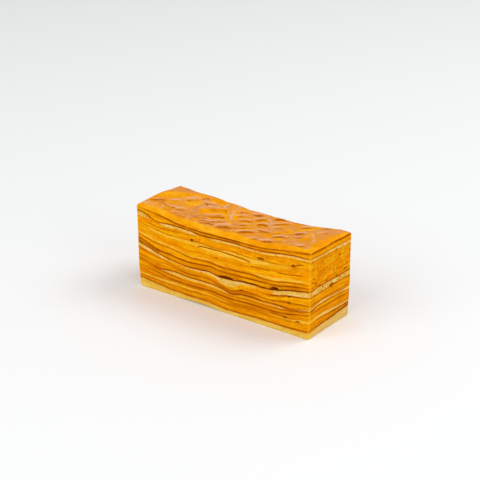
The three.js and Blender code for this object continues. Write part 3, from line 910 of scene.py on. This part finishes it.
print("corner radius:", CORNER_RADIUS, "mm, deepest groove:", GROOVE["deep"], "mm")

# %% [markdown]
# Every piece starts as the same unit block. A grid is the plan of the bar; its border is
# split into finer steps than the hidden inside needs, the grid is extruded into a block, and
# the upright edges are cut into rows. Rows crowd towards both skins of a layer, where the
# browned lines and grooves lie. The edges between wall and hidden faces are marked sharp, so
# that the hidden faces don't tilt the shading of the wall.

# %% Unit blocks
COARSE_PLAN = {"cells": (32, 10), "border_cuts": 9}
FINE_PLAN = {"cells": (300, 98), "border_cuts": 0}
ROW_HEIGHT = 0.42
LEAST_ROWS = 6


def unit_block(name, cells, border_cuts, rows, sharp_top):
    """A block one unit wide, deep and high, with a fine border and rows up its walls."""
    bm = bmesh.new()
    bmesh.ops.create_grid(bm, x_segments=cells[0], y_segments=cells[1], size=0.5)
    if border_cuts:
        border = [edge for edge in bm.edges if edge.is_boundary]
        bmesh.ops.bisect_edges(bm, edges=border, cuts=border_cuts)
    raised = bmesh.ops.extrude_face_region(bm, geom=bm.faces[:])
    upper = [part for part in raised["geom"] if isinstance(part, bmesh.types.BMVert)]
    bmesh.ops.translate(bm, verts=upper, vec=(0, 0, 1))
    for edge in bm.edges:
        low, high = sorted(vert.co.z for vert in edge.verts)
        level = high - low < 0.5
        meets_wall = any(abs(face.normal.z) < 0.5 for face in edge.link_faces)
        if level and (low < 0.5 or sharp_top):
            edge.smooth = not meets_wall
    uprights = [edge for edge in bm.edges if abs(edge.verts[0].co.z - edge.verts[1].co.z) > 0.5]
    bmesh.ops.subdivide_edges(bm, edges=uprights, cuts=rows - 1, use_grid_fill=True)
    for face in bm.faces:
        face.smooth = True
    mesh = bpy.data.meshes.new(name)
    bm.to_mesh(mesh)
    bm.free()
    return mesh


def mesh_points(mesh):
    """Coordinates of a mesh as an array."""
    points = np.zeros(len(mesh.vertices) * 3)
    mesh.vertices.foreach_get("co", points)
    return points.reshape(-1, 3)


def add_attribute(mesh, name, values):
    """Stores one number for each vertex under a name that the materials read."""
    attribute = mesh.attributes.new(name, "FLOAT", "POINT")
    attribute.data.foreach_set("value", np.ascontiguousarray(values, np.float32))

# %% [markdown]
# The block becomes a layer by sending each of its points to its place between two
# boundaries. What the material needs to know is stored on the way: how far a point lies
# below its own browned skin and above the skin beneath, how dark both skins are there, how
# pale the crumb is, where holes get painted shade and where spongy crumb shows.

# %% Shape the layers
SPONGY = {"from": 34.0, "to": 60.0, "fade": 3.5}
# on the long sides and on the ends
SPONGY_LEAST = (0.15, 0.25)
SPONGY_MORE = (0.2, 0.75)
PALE_OPEN = 0.45
TOP_SHARE = 0.9999


def spongy_share(side, z, pale):
    """How open the crumb is: most on the thick upper layers of the ends and on pale crumb."""
    ends = np.isin(side, (RIGHT, LEFT)).astype(int)
    low = ramp(z, SPONGY["from"] - SPONGY["fade"], SPONGY["from"])
    high = ramp(z, SPONGY["to"], SPONGY["to"] - SPONGY["fade"])
    open_crumb = np.take(SPONGY_LEAST, ends) + np.take(SPONGY_MORE, ends) * low * high
    return open_crumb + PALE_OPEN * pale


def shape_layer(mesh, layer):
    """Moves a unit block to the place of a layer (1 to 19) and stores its attributes."""
    block = mesh_points(mesh)
    u = block[:, 0] + 0.5
    v = block[:, 1] + 0.5
    share = (1 - np.cos(np.pi * block[:, 2])) / 2
    heights = boundary_heights(u, v)
    if layer == LAYER_COUNT:
        relief, film, crown, crescent = top_surface(u, v)
        heights[-1] += relief
    lower = heights[layer - 1]
    upper = heights[layer]
    z = lower + share * (upper - lower)
    left_end, right_end = end_walls(z)
    x = left_end + u * (right_end - left_end)
    y = (v - 0.5) * DEPTH
    side, along, _ = nearest_side(u, v)
    depth, dark = wall_depth(np.column_stack([x, y, z]), u, v, z, heights)
    end_x = np.where(u < 0.5, left_end, right_end)
    x, y, normal_x, normal_y = outward(x, y, end_x, side)
    points = np.column_stack([x - normal_x * depth, y - normal_y * depth, z])
    mesh.vertices.foreach_set("co", (points * MM).ravel())
    above_crease, crease = crease_marks(side, along, z)
    attributes = {
        "under_skin": upper - z,
        "over_floor": z - lower,
        "browning": reading(BROWNING, layer, u, v),
        "browning_below": reading(BROWNING, layer - 1, u, v),
        "paleness": reading(PALENESS, layer, u, v),
        "pale_depth": reading(PALE_DEPTH, layer, u, v),
        "toast": reading(TOAST, layer, u, v),
        # Painted shade that greys pale crumb on the right end.
        "end_shade": reading(END_SHADE, layer, u, v),
        "above_crease": above_crease,
        "crease": crease,
        # Painted highlight along the upright edges.
        "corner_highlight": hill(edge_distance(u, v), CORNER_HIGHLIGHT_REACH),
        # Painted shade in the holes.
        "hole_shade": dark,
        "spongy": spongy_share(side, z, SLOTS[LAYER_NAMES[layer - 1]] == "cream"),
    }
    if layer == LAYER_COUNT:
        on_top = share > TOP_SHARE
        # On the top face: the crown with its painted highlight, and the crescent of toast and
        # painted shade.
        attributes.update(film=film * on_top, crown=crown * on_top, crescent=crescent * on_top)
    for name, values in attributes.items():
        add_attribute(mesh, name, values)
    mesh.update()


def layer_rows(layer):
    """Rows up the wall of a layer, from its greatest thickness."""
    thickest = (lattice_heights[layer] - lattice_heights[layer - 1]).max()
    return max(LEAST_ROWS, round(thickest / ROW_HEIGHT))


def make_layer(layer):
    """Makes the piece that stands for one layer."""
    node = LAYER_NAMES[layer - 1]
    name = node.replace("layer", "baked")
    top = layer == LAYER_COUNT
    plan = FINE_PLAN if top else COARSE_PLAN
    mesh = unit_block(name, plan["cells"], plan["border_cuts"], layer_rows(layer), not top)
    shape_layer(mesh, layer)
    piece = bpy.data.objects.new(name, mesh)
    bpy.context.scene.collection.objects.link(piece)
    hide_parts(node)
    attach(piece, "root")
    return piece


pieces = [make_layer(layer) for layer in range(1, LAYER_COUNT + 1)]
for piece in pieces:
    triangles = sum(len(polygon.vertices) - 2 for polygon in piece.data.polygons)
    print(piece.name, "triangles:", triangles)

# %% [markdown]
# Materials are built from nodes. These helpers keep the node code short: one adds a
# calculation, one turns a range of values into a smooth mask, one blends two colours, and two
# open and close a node group.
# Colours are named as they look on a screen and are turned into the linear numbers that
# shaders use.

# %% Node helpers
COLOUR = "NodeSocketColor"
NUMBER = "NodeSocketFloat"
MIX_INPUTS = (0, 6, 7)
MIX_OUTPUT = 2


def linear(red, green, blue):
    """A screen colour, 0 to 255 a channel, as the linear colour that shaders use."""
    channels = []
    for value in (red, green, blue):
        share = value / 255
        low = share / 12.92
        high = ((share + 0.055) / 1.055) ** 2.4
        channels.append(low if share <= 0.04045 else high)
    return (*channels, 1.0)


def give(tree, socket, value):
    """Feeds an input socket from another socket, or sets its number or colour."""
    if isinstance(value, bpy.types.NodeSocket):
        tree.links.new(value, socket)
    else:
        socket.default_value = value


def calc(tree, operation, *values):
    """A math node."""
    node = tree.nodes.new("ShaderNodeMath")
    node.operation = operation
    for socket, value in zip(node.inputs, values):
        give(tree, socket, value)
    return node.outputs[0]


def times(tree, first, second):
    """Two values multiplied."""
    return calc(tree, "MULTIPLY", first, second)


def mask(tree, value, start, end, low=0.0, high=1.0):
    """Low where value is at start, high where it is at end, smooth between them."""
    node = tree.nodes.new("ShaderNodeMapRange")
    node.interpolation_type = "SMOOTHSTEP"
    labels = ("Value", "From Min", "From Max", "To Min", "To Max")
    for label, given in zip(labels, (value, start, end, low, high)):
        give(tree, node.inputs[label], given)
    return node.outputs["Result"]


def blend(tree, factor, first, second):
    """Two colours mixed by a factor."""
    node = tree.nodes.new("ShaderNodeMix")
    node.data_type = "RGBA"
    for socket, value in zip(MIX_INPUTS, (factor, first, second)):
        give(tree, node.inputs[socket], value)
    return node.outputs[MIX_OUTPUT]


def attribute(tree, name):
    """A number stored on the mesh."""
    node = tree.nodes.new("ShaderNodeAttribute")
    node.attribute_name = name
    return node.outputs["Fac"]


def place_mm(tree):
    """Object coordinates in mm."""
    coordinates = tree.nodes.new("ShaderNodeTexCoord")
    scale = tree.nodes.new("ShaderNodeVectorMath")
    scale.operation = "SCALE"
    scale.inputs["Scale"].default_value = 1 / MM
    tree.links.new(coordinates.outputs["Object"], scale.inputs[0])
    return scale.outputs["Vector"]


def cloud(tree, vector, size, detail=2.0, shift=0.0):
    """Soft noise with bumps about size wide, from 0 to 1."""
    node = tree.nodes.new("ShaderNodeTexNoise")
    node.noise_dimensions = "4D"
    give(tree, node.inputs["Vector"], vector)
    node.inputs["W"].default_value = shift
    node.inputs["Scale"].default_value = 1 / size
    node.inputs["Detail"].default_value = detail
    return node.outputs["Fac"]


def new_group(name, inputs):
    """A shader node group with named inputs. Returns the group and those inputs."""
    group = bpy.data.node_groups.new(name, "ShaderNodeTree")
    for label, value in inputs.items():
        kind = NUMBER if isinstance(value, float) else COLOUR
        socket = group.interface.new_socket(name=label, in_out="INPUT", socket_type=kind)
        socket.default_value = value
    return group, group.nodes.new("NodeGroupInput").outputs


def end_group(group, **outputs):
    """Gives a group its named output sockets, each fed by a value."""
    for label in outputs:
        kind = COLOUR if label == "Color" else NUMBER
        group.interface.new_socket(name=label, in_out="OUTPUT", socket_type=kind)
    end = group.nodes.new("NodeGroupOutput")
    for label, value in outputs.items():
        group.links.new(value, end.inputs[label])
    return group


print("amber on screen (250, 155, 5) is", [round(c, 3) for c in linear(250, 155, 5)], "linear")

# %% [markdown]
# All layers share one finish: moist, dense crumb. Its colour drifts in patches, is drawn out
# in streaks and thin threads along the layer, and is flecked with fine grain. Where the crumb
# is open it has small torn pores, darkened with painted shade. The group also gives a height
# for bump and a roughness, since the crumb is buttery where it is dense.

# %% Crumb group
TONE_LABELS = ("Crumb", "Deep", "Light", "Fiery")
TONES = {
    "base_yellow": ((236, 194, 76), (220, 168, 44), (244, 212, 110), (228, 180, 70)),
    "deep_amber": ((235, 150, 1), (198, 108, 0), (247, 178, 10), (234, 129, 0)),
    "amber": ((245, 164, 1), (213, 119, 0), (253, 192, 14), (243, 142, 0)),
    "yellow": ((243, 190, 50), (232, 160, 12), (248, 206, 92), (240, 174, 24)),
    "cream": ((232, 189, 90), (218, 158, 46), (244, 214, 140), (232, 180, 68)),
    "browned_top": ((246, 162, 4), (232, 140, 2), (250, 186, 40), (244, 150, 2)),
}
# Painted shade inside the pores.
PORE_SHADE_COLOUR = (168, 82, 4)
PORE = {"scale": 0.6, "reach": 0.42, "core": 0.3, "from": 0.42, "to": 0.58, "dark": 0.75}
# length and pitch in mm, and detail
CRUMB_STRATA = {"streaks": (9.0, 0.9, 3.0), "threads": (24.0, 0.5, 2.0), "bands": (30.0, 2.6, 1.0)}
# size in mm, detail and shift
CRUMB_CLOUDS = {"grain": (0.9, 2.0, 4.0), "flecks": (2.0, 2.0, 6.0), "blotches": (5.0, 2.0, 22.0)}
CRUMB_TINTS = [
    # noise, where the tint starts and is full, its share, the tint, and "spongy" if only there
    ("bands", 0.48, 0.64, 0.9, "Fiery"),
    ("bands", 0.48, 0.32, 0.65, "Light"),
    ("streaks", 0.5, 0.7, 0.85, "Deep"),
    ("streaks", 0.48, 0.3, 0.8, "Light"),
    ("threads", 0.56, 0.66, 0.65, "Deep"),
    ("blotches", 0.48, 0.6, 0.8, "Fiery", "spongy"),
    ("blotches", 0.46, 0.36, 0.6, "Light", "spongy"),
    ("grain", 0.55, 0.75, 0.4, "Deep"),
    ("flecks", 0.52, 0.66, 0.7, "Deep", "spongy"),
    ("flecks", 0.42, 0.3, 0.45, "Light"),
]
CRUMB_HEIGHT = {"grain": 0.6, "streaks": 0.5, "pore": 0.9}
CRUMB_ROUGHNESS = (0.3, 0.8, 0.55, 0.75)
SHIFT_STEP = 17.0


def tones_of(slot):
    """The crumb colours of a slot, by the names of the group's inputs."""
    return {label: linear(*tone) for label, tone in zip(TONE_LABELS, TONES[slot])}


def strata(group, shift, length, pitch, detail):
    """Noise drawn out along the layer: bumps of one length in mm and one pitch upwards."""
    parts = group.nodes.new("ShaderNodeSeparateXYZ")
    group.links.new(place_mm(group), parts.inputs[0])
    drawn = group.nodes.new("ShaderNodeCombineXYZ")
    for axis in "XY":
        give(group, drawn.inputs[axis], calc(group, "DIVIDE", parts.outputs[axis], length))
    start = times(group, shift, SHIFT_STEP)
    level = calc(group, "MULTIPLY_ADD", attribute(group, "under_skin"), 1 / pitch, start)
    group.links.new(level, drawn.inputs["Z"])
    return cloud(group, drawn.outputs["Vector"], 1.0, detail, length)


def open_pores(group, spongy, flecks):
    """Small torn pores, wider and more of them where the crumb is spongy; the mask gets painted
    shade.
    """
    cells = group.nodes.new("ShaderNodeTexVoronoi")
    group.links.new(place_mm(group), cells.inputs["Vector"])
    cells.inputs["Scale"].default_value = PORE["scale"]
    reach = times(group, spongy, PORE["reach"])
    pore = mask(group, cells.outputs["Distance"], reach, times(group, reach, PORE["core"]))
    return times(group, pore, mask(group, flecks, PORE["from"], PORE["to"]))


def build_crumb_group():
    """Colour, height and roughness of cut crumb."""
    group, given = new_group("cut crumb", {**tones_of("amber"), "Shift": 0.0})
    spongy = attribute(group, "spongy")
    noises = {}
    for name, drawn in CRUMB_STRATA.items():
        noises[name] = strata(group, given["Shift"], *drawn)
    for name, drawn in CRUMB_CLOUDS.items():
        noises[name] = cloud(group, place_mm(group), *drawn)
    colour = given["Crumb"]
    for name, faint, full, share, tint, *where in CRUMB_TINTS:
        factor = mask(group, noises[name], faint, full, 0.0, share)
        factor = times(group, factor, spongy) if where else factor
        colour = blend(group, factor, colour, given[tint])
    pore = open_pores(group, spongy, noises["flecks"])
    # Painted shade darkens the pores.
    colour = blend(group, times(group, pore, PORE["dark"]), colour, linear(*PORE_SHADE_COLOUR))
    grain = noises["grain"]
    height = times(group, noises["streaks"], CRUMB_HEIGHT["streaks"])
    height = calc(group, "MULTIPLY_ADD", grain, CRUMB_HEIGHT["grain"], height)
    height = calc(group, "SUBTRACT", height, times(group, pore, CRUMB_HEIGHT["pore"]))
    roughness = mask(group, grain, *CRUMB_ROUGHNESS)
    return end_group(group, Color=colour, Height=height, Roughness=roughness)


CRUMB_GROUP = build_crumb_group()
print("group:", CRUMB_GROUP.name)

# %% [markdown]
# Each layer was browned under the grill before the next was poured, which leaves a thin dark
# skin on it. It is darkest right at the boundary, fades down into the crumb as a toasted
# halo, and stains the foot of the layer above. Its strength comes and goes, and a reading
# over 1 turns it nearly black. Creases are drawn like the skin. A painted highlight makes the
# upright edges paler, and painted shade darkens the holes last.

# %% Browned skin group
SKIN_TONES = {
    "Color": (250, 156, 8),
    "Toasted": (202, 112, 1),
    "Browned": (144, 68, 0),
    "Charred": (68, 26, 0),
    # Painted shade inside the holes.
    "Hole_shade_colour": (138, 66, 1),
    # Painted highlight on the upright edges.
    "Corner_highlight": (255, 186, 24),
}
SHAKE = {"size": 3.5, "shift": 8.0}
SHAKE_HEIGHT = 0.36
UNEVEN = {"size": 7.0, "shift": 10.0}
UNEVEN_RANGE = (0.3, 0.6, 0.65, 1.1)
# reach below the skin in mm, how much less it is on pale crumb, and where it is full
HALO = (2.8, 1.5, 0.2)
CORE = (1.4, 0.7, 0.1)
HALO_SHARE = 0.7
FOOT_REACH = 0.9
CREASE_LINE = (0.75, 0.1)
LINE_TINTS = [
    ("Toasted", 0.0, 0.45, 1.0),
    ("Browned", 0.2, 0.95, 1.0),
    ("Charred", 0.85, 1.25, 0.9),
]
# Share of the painted highlight on the upright edges.
CORNER_HIGHLIGHT_SHARE = 0.55
# Painted shade of the holes: where it starts, where it is full, and its least and most share.
HOLE_SHADE_RANGE = (0.08, 0.8, 0.0, 0.9)
LINE_DEPTH = 0.4


def build_skin_group():
    """Adds the browned skins, the creases, a painted highlight on the upright edges and painted
    shade in the holes to a crumb colour.
    """
    tones = {label: linear(*tone) for label, tone in SKIN_TONES.items()}
    group, given = new_group("browned skin", {**tones, "Height": 0.5})
    place = place_mm(group)
    shake = cloud(group, place, **SHAKE)
    shake = calc(group, "MULTIPLY_ADD", shake, SHAKE_HEIGHT, -SHAKE_HEIGHT / 2)
    under = calc(group, "ADD", attribute(group, "under_skin"), shake)
    over = calc(group, "SUBTRACT", attribute(group, "over_floor"), shake)
    uneven = mask(group, cloud(group, place, **UNEVEN), *UNEVEN_RANGE)
    strength = times(group, attribute(group, "browning"), uneven)
    below = times(group, attribute(group, "browning_below"), uneven)
    paleness = attribute(group, "paleness")

    def below_skin(reach, less, full):
        """The strength of the skin, fading out at a reach below it."""
        start = calc(group, "MULTIPLY_ADD", paleness, -less, reach)
        return times(group, mask(group, under, start, full), strength)

    foot = times(group, mask(group, over, FOOT_REACH, 0.0), below)
    gap = calc(group, "ABSOLUTE", calc(group, "ADD", attribute(group, "above_crease"), shake))
    crease = times(group, mask(group, gap, *CREASE_LINE), attribute(group, "crease"))
    line = calc(group, "MAXIMUM", calc(group, "MAXIMUM", below_skin(*CORE), foot), crease)
    halo = times(group, below_skin(*HALO), HALO_SHARE)
    toast = calc(group, "MAXIMUM", halo, attribute(group, "toast"))
    colour = blend(group, toast, given["Color"], given["Toasted"])
    for label, faint, full, share in LINE_TINTS:
        tint = mask(group, line, faint, full, 0.0, share)
        colour = blend(group, tint, colour, given[label])
    # A painted highlight makes the upright edges paler.
    corner_light = times(group, attribute(group, "corner_highlight"), CORNER_HIGHLIGHT_SHARE)
    colour = blend(group, corner_light, colour, given["Corner_highlight"])
    # Painted shade darkens the holes.
    hole_shade_mix = mask(group, attribute(group, "hole_shade"), *HOLE_SHADE_RANGE)
    colour = blend(group, hole_shade_mix, colour, given["Hole_shade_colour"])
    height = calc(group, "SUBTRACT", given["Height"], times(group, line, LINE_DEPTH))
    return end_group(group, Color=colour, Height=height)


SKIN_GROUP = build_skin_group()
print("group:", SKIN_GROUP.name)

# %% [markdown]
# One function makes the material of any layer from its own colours. The shader and the bump
# stay in the material, and only colours, heights and roughness come out of the groups. Where
# the paleness of a layer fades, plain amber crumb shows instead of its own.

# %% Layer materials
# Grey of the painted shade on the right end.
END_SHADE_GREY = (218, 184, 138)
SPECULAR = 0.005
CRUMB_BUMP = {"strength": 0.6, "distance": 0.0004}
PALE_EDGE = (0.6, -0.5)


def place_group(tree, group, **values):
    """Places a group in a tree, with its inputs fed by name."""
    node = tree.nodes.new("ShaderNodeGroup")
    node.node_tree = group
    for label, value in values.items():
        give(tree, node.inputs[label], value)
    return node


def crumb_colour(tree, slot, shift):
    """Places the crumb group with the colours of a slot."""
    return place_group(tree, CRUMB_GROUP, Shift=float(shift), **tones_of(slot))


def new_material(name):
    """An empty material with a shader. Returns the material, its tree and the shader."""
    material = bpy.data.materials.new(name)
    material.use_nodes = True
    tree = material.node_tree
    surface = tree.nodes["Principled BSDF"]
    surface.inputs["Specular IOR Level"].default_value = SPECULAR
    return material, tree, surface


def finish_surface(tree, surface, colour, roughness, height, bump):
    """Feeds the shader, with the height turned into a bump."""
    node = tree.nodes.new("ShaderNodeBump")
    node.inputs["Strength"].default_value = bump["strength"]
    node.inputs["Distance"].default_value = bump["distance"]
    tree.links.new(height, node.inputs["Height"])
    tree.links.new(node.outputs["Normal"], surface.inputs["Normal"])
    tree.links.new(colour, surface.inputs["Base Color"])
    tree.links.new(roughness, surface.inputs["Roughness"])


def layer_material(layer):
    """The material of one layer, from the slot that the record gives it."""
    node = LAYER_NAMES[layer - 1]
    material, tree, surface = new_material(node.replace("layer", "crumb"))
    own = crumb_colour(tree, SLOTS[node], layer)
    colour = own.outputs["Color"]
    if layer in PALENESS:
        amber = crumb_colour(tree, "amber", layer)
        depth = calc(tree, "SUBTRACT", attribute(tree, "under_skin"), attribute(tree, "pale_depth"))
        pale = times(tree, mask(tree, depth, *PALE_EDGE), attribute(tree, "paleness"))
        colour = blend(tree, pale, amber.outputs["Color"], colour)
    # Painted shade greys pale crumb on the right end.
    if layer in END_SHADE:
        colour = blend(tree, attribute(tree, "end_shade"), colour, linear(*END_SHADE_GREY))
    skin = place_group(tree, SKIN_GROUP, Color=colour, Height=own.outputs["Height"])
    colour, height = skin.outputs["Color"], skin.outputs["Height"]
    finish_surface(tree, surface, colour, own.outputs["Roughness"], height, CRUMB_BUMP)
    return material


for layer, piece in enumerate(pieces[:-1], start=1):
    piece.data.materials.append(layer_material(layer))
print("layer materials:", LAYER_COUNT - 1)

# %% [markdown]
# The top is amber crumb glazed by the oven. The tan film of dried batter is pinkish and thins
# out in streaks towards the hollows, which show bright amber. Ridges and folds get a pale
# crown, partly the film and partly a painted highlight. Below each ridge a darker crescent
# marks its steep side: partly toasted crust, partly painted shade.

# %% Material of the top
FILM_TAN = (230, 147, 42)
FILM_MAUVE = (220, 143, 80)
# Pale film with a painted highlight on ridges and folds.
CROWN_FILM_AND_HIGHLIGHT = (230, 172, 126)
# Toast with painted shade on the steep side below the ridges.
CRESCENT_TOAST_AND_SHADE_COLOUR = (180, 92, 2)
TOP_BUMP = {"strength": 0.5, "distance": 0.0005}
MOTTLE = {"size": 2.4, "detail": 3.0, "shift": 14.0}
FINE = {"size": 0.8, "shift": 18.0}
DRIFT = {"size": 11.0, "detail": 1.0, "shift": 16.0}
MOTTLE_SHARE = 0.8
FINE_SHARE = 0.4
MAUVE_RANGE = (0.4, 0.6)
# how ragged the edge is, then where the mask starts, where it is full, and its share there
TOP_MASKS = {
    "film": (0.7, 0.1, 0.85, 0.9),
    "crescent": (0.5, 0.05, 0.95, 0.95),
    "crown": (0.6, 0.2, 0.85, 0.95),
}
TOP_HEIGHT = {"film": 0.3, "fine": 0.5}
TOP_ROUGHNESS = (0.45, 0.65)


def top_mask(tree, name, ragged):
    """Where the film, the crescents or the crowns show, with a ragged edge."""
    share, faint, full, most = TOP_MASKS[name]
    value = calc(tree, "MULTIPLY_ADD", ragged, share, attribute(tree, name))
    return mask(tree, value, faint, full, 0.0, most)


def top_material():
    """The material of the top layer."""
    material, tree, surface = new_material("browned top")
    own = crumb_colour(tree, "browned_top", LAYER_COUNT)
    skin = place_group(tree, SKIN_GROUP, Color=own.outputs["Color"], Height=own.outputs["Height"])
    place = place_mm(tree)
    fine = cloud(tree, place, **FINE)
    ragged = calc(tree, "MULTIPLY_ADD", fine, FINE_SHARE, -(MOTTLE_SHARE + FINE_SHARE) / 2)
    ragged = calc(tree, "MULTIPLY_ADD", cloud(tree, place, **MOTTLE), MOTTLE_SHARE, ragged)
    mauve = mask(tree, cloud(tree, place, **DRIFT), *MAUVE_RANGE)
    film = top_mask(tree, "film", ragged)
    film_colour = blend(tree, mauve, linear(*FILM_TAN), linear(*FILM_MAUVE))
    colour = blend(tree, film, skin.outputs["Color"], film_colour)
    # Toast and painted shade of the crescents.
    colour = blend(tree, top_mask(tree, "crescent", ragged), colour, linear(*CRESCENT_TOAST_AND_SHADE_COLOUR))
    # Pale film with a painted highlight on the crowns.
    colour = blend(tree, top_mask(tree, "crown", ragged), colour, linear(*CROWN_FILM_AND_HIGHLIGHT))
    height = calc(tree, "MULTIPLY_ADD", film, TOP_HEIGHT["film"], skin.outputs["Height"])
    height = calc(tree, "MULTIPLY_ADD", fine, TOP_HEIGHT["fine"], height)
    roughness = mask(tree, film, 0.0, 1.0, *TOP_ROUGHNESS)
    finish_surface(tree, surface, colour, roughness, height, TOP_BUMP)
    return material


pieces[-1].data.materials.append(top_material())
print("top material:", pieces[-1].data.materials[0].name)
